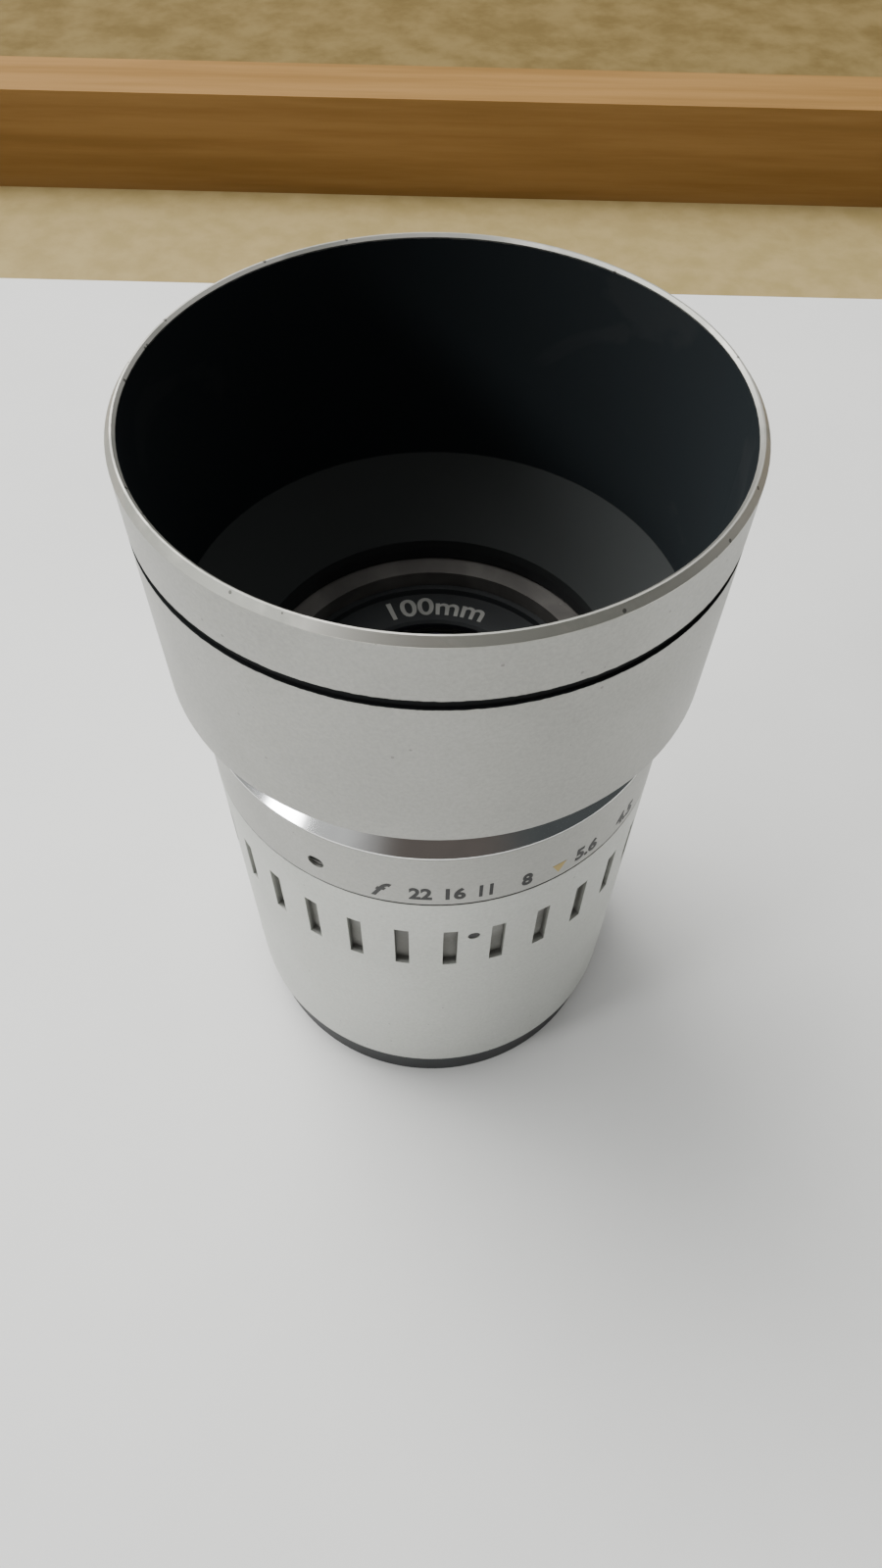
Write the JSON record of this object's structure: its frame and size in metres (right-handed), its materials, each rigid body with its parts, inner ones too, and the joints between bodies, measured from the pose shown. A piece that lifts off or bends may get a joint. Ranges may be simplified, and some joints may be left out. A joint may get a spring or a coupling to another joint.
{
  "type": "camera lens with hood",
  "caption": "Short telephoto lens with a fluted focusing sleeve, numbered aperture ring, leaf iris and a straight drum hood, standing on its rear mount.",
  "frame": {"origin": "centre of the rear seat, where the lens stands", "axes": "+Z along the optical axis out of the front glass, -Y towards the side with the aperture scale"},
  "size_m": [0.0518, 0.0518, 0.0865],
  "materials": {
    "satin_aluminium": "satin anodised",
    "hood_aluminium": "satin anodised outside, matt black inside",
    "polished_aluminium": "polished bevel",
    "black_anodised": "satin black",
    "baffle_black": "matt black",
    "hood_collar_black": "matt black thread",
    "black_fill": "black paint in an engraved dot",
    "steel_screws": "turned steel",
    "blued_screws": "blackened steel",
    "brass_key": "turned brass",
    "iris_black": "matt black",
    "iris_steel": "blackened spring steel",
    "coated_glass": "single coated optical glass"
  },
  "bodies": {
    "mount": {"rear_mount": "black_anodised", "mount_screws": "steel_screws", "locating_pin": "steel_screws", "guide_key": "brass_key", "fixed_barrel": "black_anodised"},
    "coupling": {"coupling_ring": "brass_key"},
    "head": {"head_barrel": "black_anodised", "focusing_sleeve": "satin_aluminium", "index_dot": "black_fill", "sleeve_screws": "blued_screws", "stop_screw": "blued_screws", "coupling_retainer": "brass_key", "iris_base": "iris_black", "iris_clip": "steel_screws", "detent_ball": "steel_screws", "detent_spring": "steel_screws", "front_cell": "baffle_black", "name_ring": "baffle_black", "front_element": "coated_glass", "middle_element": "coated_glass", "middle_retainer": "baffle_black", "rear_element_a": "coated_glass", "rear_element_b": "coated_glass", "rear_cell": "baffle_black", "rear_retainer": "baffle_black", "rear_baffle": "baffle_black", "bezel_ring": "polished_aluminium"},
    "aperture": {"aperture_ring": "satin_aluminium", "aperture_screw": "blued_screws", "iris_actuator": "brass_key"},
    "hood": {"hood_shell": "hood_aluminium", "hood_collar": "hood_collar_black"},
    "blade_01": {"blade_01": "iris_steel"},
    "blade_02": {"blade_02": "iris_steel"},
    "blade_03": {"blade_03": "iris_steel"},
    "blade_04": {"blade_04": "iris_steel"},
    "blade_05": {"blade_05": "iris_steel"},
    "blade_06": {"blade_06": "iris_steel"},
    "blade_07": {"blade_07": "iris_steel"},
    "blade_08": {"blade_08": "iris_steel"},
    "blade_09": {"blade_09": "iris_steel"},
    "blade_10": {"blade_10": "iris_steel"}
  },
  "joints": [
    {"name": "focus_travel", "type": "slide", "parent": "mount", "child": "coupling", "axis": [0, 0, 1], "range_m": [0, 0.0054]},
    {"name": "focus_turn", "type": "hinge", "parent": "coupling", "child": "head", "pos_m": [0, 0, 0.02], "axis": [0, 0, 1], "range_deg": [0, 216]},
    {"name": "aperture_turn", "type": "hinge", "parent": "head", "child": "aperture", "pos_m": [0, 0, 0.0518], "axis": [0, 0, 1], "range_deg": [-42.3, 13.1]},
    {"name": "hood_lift", "type": "slide", "parent": "head", "child": "hood", "axis": [0, 0, 1], "range_m": [0, 0.015]},
    {"name": "blade_01_turn", "type": "hinge", "parent": "head", "child": "blade_01", "pos_m": [0.0169, 0, 0.0357], "axis": [0, 0, 1], "range_deg": [-22.32, 6.92]},
    {"name": "blade_02_turn", "type": "hinge", "parent": "head", "child": "blade_02", "pos_m": [0.01367, 0.00993, 0.03586], "axis": [0, 0, 1], "range_deg": [-22.32, 6.92]},
    {"name": "blade_03_turn", "type": "hinge", "parent": "head", "child": "blade_03", "pos_m": [0.00522, 0.01607, 0.03602], "axis": [0, 0, 1], "range_deg": [-22.32, 6.92]},
    {"name": "blade_04_turn", "type": "hinge", "parent": "head", "child": "blade_04", "pos_m": [-0.00522, 0.01607, 0.03618], "axis": [0, 0, 1], "range_deg": [-22.32, 6.92]},
    {"name": "blade_05_turn", "type": "hinge", "parent": "head", "child": "blade_05", "pos_m": [-0.01367, 0.00993, 0.03634], "axis": [0, 0, 1], "range_deg": [-22.32, 6.92]},
    {"name": "blade_06_turn", "type": "hinge", "parent": "head", "child": "blade_06", "pos_m": [-0.0169, 0, 0.0365], "axis": [0, 0, 1], "range_deg": [-22.32, 6.92]},
    {"name": "blade_07_turn", "type": "hinge", "parent": "head", "child": "blade_07", "pos_m": [-0.01367, -0.00993, 0.03666], "axis": [0, 0, 1], "range_deg": [-22.32, 6.92]},
    {"name": "blade_08_turn", "type": "hinge", "parent": "head", "child": "blade_08", "pos_m": [-0.00522, -0.01607, 0.03682], "axis": [0, 0, 1], "range_deg": [-22.32, 6.92]},
    {"name": "blade_09_turn", "type": "hinge", "parent": "head", "child": "blade_09", "pos_m": [0.00522, -0.01607, 0.03698], "axis": [0, 0, 1], "range_deg": [-22.32, 6.92]},
    {"name": "blade_10_turn", "type": "hinge", "parent": "head", "child": "blade_10", "pos_m": [0.01367, -0.00993, 0.03714], "axis": [0, 0, 1], "range_deg": [-22.32, 6.92]}
  ],
  "couplings": [
    {"joint": "focus_travel", "follows": "focus_turn", "m_per_rad": 0.0014324},
    {"joint": "blade_01_turn", "follows": "aperture_turn", "ratio": 0.52708},
    {"joint": "blade_02_turn", "follows": "aperture_turn", "ratio": 0.52708},
    {"joint": "blade_03_turn", "follows": "aperture_turn", "ratio": 0.52708},
    {"joint": "blade_04_turn", "follows": "aperture_turn", "ratio": 0.52708},
    {"joint": "blade_05_turn", "follows": "aperture_turn", "ratio": 0.52708},
    {"joint": "blade_06_turn", "follows": "aperture_turn", "ratio": 0.52708},
    {"joint": "blade_07_turn", "follows": "aperture_turn", "ratio": 0.52708},
    {"joint": "blade_08_turn", "follows": "aperture_turn", "ratio": 0.52708},
    {"joint": "blade_09_turn", "follows": "aperture_turn", "ratio": 0.52708},
    {"joint": "blade_10_turn", "follows": "aperture_turn", "ratio": 0.52708}
  ]
}
